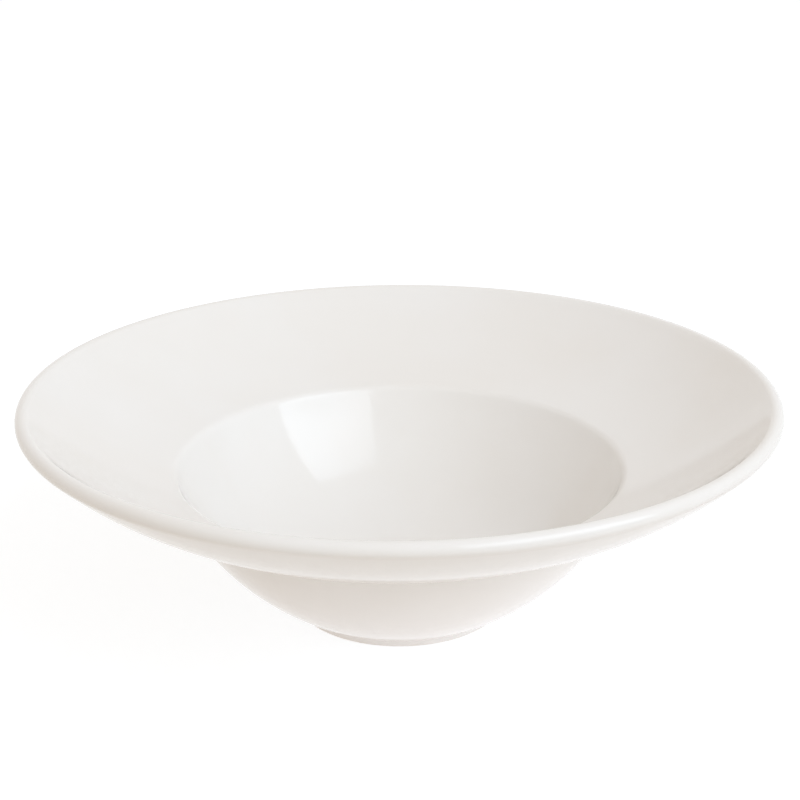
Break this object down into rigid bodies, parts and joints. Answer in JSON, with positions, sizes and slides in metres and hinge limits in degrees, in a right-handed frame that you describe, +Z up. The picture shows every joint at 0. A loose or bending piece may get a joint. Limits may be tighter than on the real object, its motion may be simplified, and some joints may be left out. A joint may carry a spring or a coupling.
{
  "type": "pasta bowl",
  "caption": "Wide rimmed round pasta bowl in glazed white porcelain: a deep round well under a broad upswept rim with a rounded lip, standing on a low foot ring.",
  "frame": {"origin": "on the table under the middle of the bowl, at the plane of the foot ring's standing face", "axes": "+Z up along the axis of the bowl; X and Y are level and alike, because the bowl is round"},
  "size_m": [0.27, 0.27, 0.085],
  "materials": {
    "fired_body": "bare fired porcelain, ground smooth and dull where the bowl stands",
    "glaze": "clear gloss glaze over a warm white body"
  },
  "bodies": {
    "root": {"porcelain_body": "fired_body", "glaze_coat": "glaze", "recess_glaze": "glaze"}
  },
  "joints": []
}
